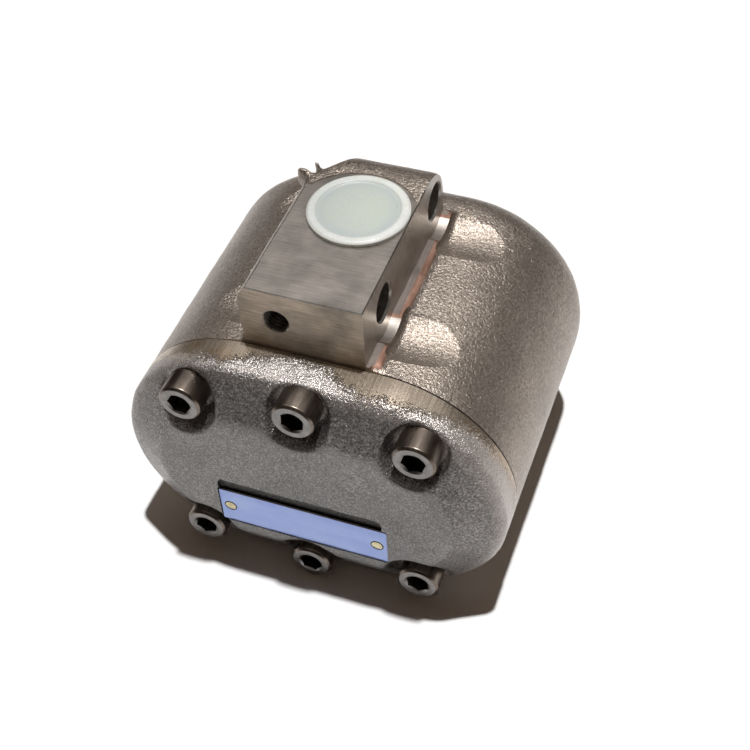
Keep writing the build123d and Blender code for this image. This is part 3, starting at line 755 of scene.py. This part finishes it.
def housing_face(c, n):
    if c.y < 0.01:
        return FRONT
    if abs(c.z - BLOCK_TOP) < 0.012 and n.z > 0.99:
        return TOP
    if abs(n.x) < 0.9 and c.z > 74 and n.z > 0.5 and abs(n.y) > 0.6 and c.y < 0.3:
        return TURNED
    if BLOCK_RIGHT - 0.3 < c.x < BLOCK_RIGHT + 0.02 and n.x > 0.6 and c.z > STRIP_TOP - 2:
        return SIDE
    if abs(c.z - STRIP_TOP) < 0.02 and n.z > 0.9 and BLOCK_RIGHT - 0.1 < c.x < BLOCK_RIGHT + 2.8:
        return LEDGE
    on_strip = BLOCK_RIGHT < c.x < STRIP_RIGHT + 0.2 and STRIP_TOP - 0.8 < c.z < STRIP_TOP + 0.7
    if on_strip and c.y < BLOCK_BACK:
        return RUST if n.z > 0.5 else CAST
    for y in HOLE_Y:
        r = math.hypot(c.y - y, c.z - HOLE_Z)
        if abs(r - SPOT_R) < 0.06 and abs(n.x) < 0.1 and c.z < HOLE_Z:
            return SPOT
        if r < SPOT_R + 0.05 and abs(c.x - BLOCK_LEFT) < 0.2 and n.x < -0.9:
            return SIDE
        if r < CROSS_R + 0.6 and abs(n.x) < 0.9 and abs(c.x) < 30:
            return BORE
    if math.hypot(c.x - LOCK_X, c.z - HOLE_Z) < LOCK_R + 1.25 and c.y < 22 and c.z > 50:
        # Past its mouth the lock hole's thread gets painted shade: the near black steel instead of
        # thread_steel.
        return THREAD if c.y < LOCK_MOUTH else DEEP_SHADE
    from_port = math.hypot(c.x, c.y - PORT_Y)
    if from_port < PORT_MOUTH_R + 0.15 and 5 < c.z < BLOCK_TOP:
        return BORE
    if from_port < SUCTION_PAD_R + 0.01 and c.z < 0.2 - BODY_R:
        return BORE
    if from_port < SUCTION_THREAD_R + 0.9 and -BODY_R < c.z < 0:
        return BORE
    if c.y > BOSS_FACE - 0.02 and n.y > 0.99:
        return TURNED
    from_drive = math.hypot(c.x - DRIVE_X, c.z)
    if c.y > 101 and from_drive < SEAL_RING_R + 0.1:
        return BORE
    from_shaft = min(from_drive, math.hypot(c.x - AXIS_X, c.z))
    if c.y < CAVITY_DEPTH + 0.1 and from_shaft < CAVITY_R + 0.1:
        return BORE
    return CAST


finish_piece(housing, "pump_body",
             [body_iron, milled_top, milled_front, milled_side, bored, rust_strip, turned, ledge, spot_wall,
              thread_steel, painted_shade_steel], ["housing"], housing_face, flat=(TOP, FRONT, SIDE, TURNED, LEDGE))


# End cover.
def raw_cover():
    edge = [(BODY_R + 0.26, 3.0), (BODY_R + 0.20, -13.6), (31.0, PAD_Y + 0.1), (0.5, PAD_Y + 0.1)]
    profile = rounded(edge, [0, 5.5, 10.0, 0], 12)
    cover = loft("cover_casting", [racetrack(r, y) for r, y in profile])
    cover.data.transform(Matrix.Translation((0.14, 0, -0.05)))
    for x, z in SCREW_SPOTS:
        pocket = lathe("pocket", "Y", (x, z), [(16.2, -27), (13.1, -22), (11.2, -16.5), (9.6, -COVER_T)], 64)
        cut(cover, pocket)
    cast_skin(cover, 0.72, 4, [(13.0, 0.18), (5.0, 0.10), (2.2, 0.07)])
    return cover


cover = raw_cover()
cut(cover, loft("ground", [
    racetrack(BODY_R - 0.02, -40, 96), racetrack(BODY_R - 0.02, -JOINT_EDGE, 96),
    racetrack(BODY_R - JOINT_EDGE, 0, 96)]), operation="INTERSECT")
cut(cover, box("pad_limit", (-90, -40, -60), (90, PAD_Y, 60)))
for x, z in SCREW_SPOTS:
    cut(cover,
        rod("seat", "Y", (x, z), SEAT_R, -18, -COVER_T, 64),
        rod("hole", "Y", (x, z), SCREW_R + 0.5, -20, 2, 48))
for side in (-1, 1):
    cut(cover, rod("dowel_hole", "Y", (side * DOWEL_X, 0), DOWEL_HOLE_R, -DOWEL_DEPTH, 1, 32))
cut(cover,
    rounded_box("plate_seat", (PLATE_X - PLATE_W / 2 - 0.2, PLATE_Z - PLATE_H / 2 - 0.2),
                (PLATE_X + PLATE_W / 2 + 0.2, PLATE_TOP + 1.1), 0.7, -30, PLATE_BACK),
    rounded_box("trough", (PLATE_X - PLATE_W / 2 + 0.3, PLATE_TOP - 3.0),
                (PLATE_X + PLATE_W / 2 - 1.6, PLATE_TOP + 6.6), 2.8, -30, PAD_Y + 2.0))
for x in RIVET_X:
    cut(cover, rod("rivet_hole", "Y", (x, PLATE_Z), RIVET_HOLE_R, -26, PLATE_BACK + 5, 24))


def track_radius(c):
    return math.hypot(max(abs(c.x) - AXIS_X, 0), c.z)


# Materials of the cover's faces, by number.
SKIN, SHADE_AND_JOINT, SEAT = range(3)


def cover_face(c, n):
    if c.y > -0.01:
        return SEAT
    # The joint chamfer on the cover's right side gets the near black iron.
    if c.y > -JOINT_EDGE and c.x > AXIS_X and track_radius(c) > BODY_R - 0.9:
        return SHADE_AND_JOINT
    for x, z in SCREW_SPOTS:
        if math.hypot(c.x - x, c.z - z) < SEAT_R - 0.05 and c.y > -COVER_T - 0.05:
            return SEAT
    # Painted shade: the recess round the name plate gets the near black iron.
    inside = abs(c.x - PLATE_X) < PLATE_W / 2 + 0.3 and PLATE_Z - PLATE_H / 2 - 0.3 < c.z < PLATE_TOP + 6.7
    if inside and c.y > PAD_Y + 0.25:
        return SHADE_AND_JOINT
    return SKIN


finish_piece(cover, "pump_body", [cover_iron, painted_shade_and_joint_iron, turned], ["end_cover"], cover_face)


# Screws, plate and rivets.
# Materials of a screw's faces, by number.
HEAD_SIDE, HEAD_FACE, SOCKET = range(3)


def socket_screw(name, x, z, turn):
    face = -COVER_T - HEAD_HEIGHT
    edge = [
        (0.001, face), (HEAD_R - 0.9, face), (HEAD_R, face + 0.9), (HEAD_R, -COVER_T - 0.15),
        (HEAD_R - 0.2, -COVER_T), (SCREW_R, -COVER_T), (SCREW_R, SCREW_TIP - 0.5), (SCREW_R - 0.6, SCREW_TIP),
        (0.001, SCREW_TIP)]
    profile = rounded(edge, [0, 0.5, 0.7, 0, 0, 0.3, 0, 0, 0], 4)
    screw = lathe(name, "Y", (x, z), profile[1:-1], 72)
    angles = [turn + math.pi * i / 3 for i in range(6)]
    hexagon = [(x + SOCKET_R * math.cos(t), z + SOCKET_R * math.sin(t)) for t in angles]
    cut(screw, prism("hex", "Y", hexagon, face - 1, face + SOCKET_DEPTH))
    cut(screw, lathe("drill", "Y", (x, z), [(3.9, face + 4.9), (3.9, face + 5.0), (0.2, face + 6.6)], 48))
    cut(screw, lathe("lead", "Y", (x, z), [(5.5, face - 0.6), (4.95, face), (4.1, face + 0.55)], 48))

    def pick(c, n):
        r = math.hypot(c.x - x, c.z - z)
        if c.y < face + 0.05 and r > 4.0:
            return HEAD_FACE
        # The socket walls get painted shade: the near black steel.
        if r < 5.0 and c.y < face + 6.7:
            return SOCKET if c.y > face + 0.5 else HEAD_FACE
        return HEAD_SIDE

    finish_piece(screw, "pump_body", [steel_black, steel_face, painted_shade_steel],
                 ["cover_screws"], pick, 30)


for number, (x, z) in enumerate(SCREW_SPOTS):
    socket_screw("cover_screw_%d" % (number + 1), x, z, 0.35 + 1.7 * number)

plate = rounded_box("plate_sheet", (PLATE_X - PLATE_W / 2, PLATE_Z - PLATE_H / 2),
                    (PLATE_X + PLATE_W / 2, PLATE_Z + PLATE_H / 2), 0.6, PLATE_BACK - PLATE_T, PLATE_BACK)
for x in RIVET_X:
    cut(plate, rod("rivet_hole", "Y", (x, PLATE_Z), RIVET_HOLE_R, -30, -10, 24))
    cut(plate, rod("rivet_sink", "Y", (x, PLATE_Z), RIVET_SINK_R, -30, PLATE_BACK - 0.55, 32))
# Painted highlight: all edges of the sheet are near white, for the light line along the plate's top edge.
painted_highlight_edge = brushed("painted_highlight_edge", (0.78, 0.80, 0.85), (0.93, 0.95, 0.98), (600, 600, 600), rough=(0.30, 0.45),
                     metal=0.5)
bevel(plate, 0.36, 3)
# Materials of the plate's faces, by number.
SHEET, PAINTED_HIGHLIGHT_EDGE, SHADE_RING = range(3)


def plate_face(c, n):
    # Painted shade: the sunk ring round each rivet gets the near black iron.
    from_rivet = min(math.hypot(c.x - x, c.z - PLATE_Z) for x in RIVET_X)
    if c.y > PLATE_BACK - PLATE_T + 0.02 and from_rivet < RIVET_SINK_R + 0.05:
        return SHADE_RING
    return SHEET if n.y < -0.95 else PAINTED_HIGHLIGHT_EDGE


finish_piece(plate, "pump_body", [plate_blue(), painted_highlight_edge, painted_shade_and_joint_iron], ["name_plate"],
             plate_face, 30)
for side, x in zip(("left", "right"), RIVET_X):
    front = PLATE_BACK - PLATE_T
    steps = (0.05, 0.5, 0.9, 1.3, 1.6, 1.9, RIVET_R)
    dome = [(radius, front - 0.12 - 0.37 * (1 - (radius / RIVET_R) ** 2)) for radius in steps]
    dome.append((RIVET_R, front + 0.25))
    shank = [(RIVET_HOLE_R - 0.02, front + 0.25), (RIVET_HOLE_R - 0.02, PLATE_BACK + 4.9)]
    rivet = lathe("rivet_" + side, "Y", (x, PLATE_Z), dome + shank, 32)
    finish_piece(rivet, "pump_body", [rivet_metal], ["plate_rivets"])

# Shipping plug.
top = BLOCK_TOP + 2.0
plug_edge = [
    (0.05, top - 0.70), (13.9, top - 0.85), (14.7, top - 0.66), (15.3, top - 0.22), (17.5, top - 0.12),
    (18.45, top - 0.75), (18.45, BLOCK_TOP + 0.12), (18.1, BLOCK_TOP + 0.02), (15.0, BLOCK_TOP + 0.02),
    (15.0, BLOCK_TOP - 10), (14.6, BLOCK_TOP - 11.8), (13.6, BLOCK_TOP - 11.8), (13.55, BLOCK_TOP - 1.5),
    (0.05, BLOCK_TOP - 1.4)]
plug_profile = rounded(plug_edge, [0, 1.2, 0.6, 0.7, 1.0, 0.4, 0.1, 0.1, 0.2, 0, 0.4, 0.3, 0.5, 0], 5)
plug = lathe("plug_cap", "Z", (0, PORT_Y), plug_profile, 128)
finish_piece(plug, "plug", [plug_plastic()], ["port_plug"], angle=50)

# Materials of the CAD pieces that stay.
kept = {
    "cover_dowels": shaft_steel, "cover_face_seal": seal_rubber, "front_bearing_block": aluminium,
    "rear_bearing_block": aluminium, "front_drive_bush": bronze, "front_driven_bush": bronze,
    "rear_drive_bush": bronze, "rear_driven_bush": bronze, "front_balance_seal": seal_rubber,
    "rear_balance_seal": seal_rubber, "drive_gear_shaft": gear_steel, "driven_gear_shaft": gear_steel,
    "drive_key": shaft_steel, "shaft_seal_case": ring_steel, "shaft_seal_lip": lip_rubber,
    "seal_garter_spring": shaft_steel, "seal_retaining_ring": ring_steel,
}
for name, mat in kept.items():
    mesh = nodes[name].data
    mesh.materials.clear()
    mesh.materials.append(mat)

# Stage, camera and light, in metres.
FLOOR_HALF = 6
FLOOR_LEVEL = -0.0002
corners = [(FLOOR_HALF * sx, FLOOR_HALF * sy, FLOOR_LEVEL) for sx, sy in ((-1, -1), (1, -1), (1, 1), (-1, 1))]
floor = new_object("floor", corners, [(0, 1, 2, 3)])
floor_mat, tree, shader = material("floor_paper")
paper = noise_tex(tree, coords(tree), 30.0, 3.0, 0.5)
tree.links.new(ramp(tree, paper, [(0.3, grey(0.93)), (0.7, grey(0.95))]), shader.inputs["Base Color"])
shader.inputs["Roughness"].default_value = 0.9
shader.inputs["Specular IOR Level"].default_value = 0.1
floor.data.materials.append(floor_mat)

camera_data = bpy.data.cameras.new("camera")
camera_data.lens = 64.879
camera_data.sensor_width = 36.0
camera_data.clip_start = 0.01
camera = bpy.data.objects.new("camera", camera_data)
bpy.context.scene.collection.objects.link(camera)
rows = (
    (0.93913569, 0.34071869, -0.04398783), (0.22481905, -0.70633482, -0.67122837),
    (-0.25977019, 0.62048521, -0.73994429))
right, down, forward = (Vector(r) for r in rows)
turn = Matrix((right, -down, -forward)).transposed().to_4x4()
camera.matrix_world = Matrix.Translation((0.14092, -0.34199, 0.43677)) @ turn
bpy.context.scene.camera = camera


def ring_wall(low, high, count):
    # Round wall or cone between two circles, each with a radius and a height.
    angles = [2 * math.pi * i / count for i in range(count)]
    verts = []
    for radius, height in (low, high):
        verts += [(radius * math.cos(t), radius * math.sin(t), height) for t in angles]
    faces = [(i, (i + 1) % count, count + (i + 1) % count, count + i) for i in range(count)]
    return verts, faces


def lamp(kind, name, place, energy, color=(1, 1, 1)):
    # Lamp that points at the middle of the object.
    data = bpy.data.lights.new(name, kind)
    data.energy = energy
    data.color = color
    obj = bpy.data.objects.new(name, data)
    bpy.context.scene.collection.objects.link(obj)
    obj.location = place
    obj.rotation_euler = (Vector((0, 0, 0.05)) - Vector(place)).to_track_quat("-Z", "Y").to_euler()
    return data


key = lamp("SUN", "key", (0.15, 0.24, 3.0), 3.3)
key.angle = math.radians(1.94)
soft = lamp("AREA", "soft", (-0.3, 0.3, 2.2), 1.5, (1.0, 0.97, 0.94))
soft.size = 1.0

# Dark walls round the set, which show only in the metal. The camera doesn't see them.
walls = new_object("walls", *ring_wall((0.5, 0.0), (0.5, 0.52), 48))
wall_mat, tree, shader = material("wall_cloth")
cloth = noise_tex(tree, coords(tree), 4.0, 3.0, 0.5)
brown = ramp(tree, cloth, [(0.3, (0.075, 0.055, 0.04)), (0.7, (0.10, 0.075, 0.055))])
tree.links.new(brown, shader.inputs["Base Color"])
shader.inputs["Roughness"].default_value = 0.9
shader.inputs["Specular IOR Level"].default_value = 0.0
walls.data.materials.append(wall_mat)
walls.visible_camera = False
walls.visible_shadow = False

# Grey ceiling that shows only in the metal. The key lamp shines through its opening.
ceiling = new_object("ceiling", *ring_wall((1.7, 1.75), (0.45, 3.6), 48))
ceiling_mat, tree, shader = material("ceiling_cloth")
cloth = noise_tex(tree, coords(tree), 2.0, 3.0, 0.5)
pale = ramp(tree, cloth, [(0.35, (0.92, 0.88, 0.84)), (0.65, (1.0, 0.97, 0.94))])
tree.links.new(pale, shader.inputs["Emission Color"])
shader.inputs["Emission Strength"].default_value = 0.45
shader.inputs["Base Color"].default_value = (0.02, 0.02, 0.02, 1)
ceiling.data.materials.append(ceiling_mat)
ceiling.visible_camera = False
ceiling.visible_diffuse = False
ceiling.visible_shadow = False

world = bpy.data.worlds.new("studio")
world.use_nodes = True
bpy.context.scene.world = world
tree = world.node_tree
background = tree.nodes["Background"]
background.inputs["Color"].default_value = (1.0, 0.58, 0.32, 1)
background.inputs["Strength"].default_value = 0.08
white = node(tree, "ShaderNodeBackground")
white.inputs["Color"].default_value = (1, 1, 1, 1)
path = node(tree, "ShaderNodeLightPath")
blend = node(tree, "ShaderNodeMixShader")
seen = combine(tree, "MAXIMUM", path.outputs["Is Camera Ray"], path.outputs["Is Transmission Ray"])
seen = combine(tree, "MAXIMUM", seen, path.outputs["Is Glossy Ray"])
tree.links.new(seen, blend.inputs["Fac"])
tree.links.new(background.outputs[0], blend.inputs[1])
tree.links.new(white.outputs[0], blend.inputs[2])
tree.links.new(blend.outputs[0], tree.nodes["World Output"].inputs["Surface"])
bpy.context.scene.view_settings.view_transform = "Standard"
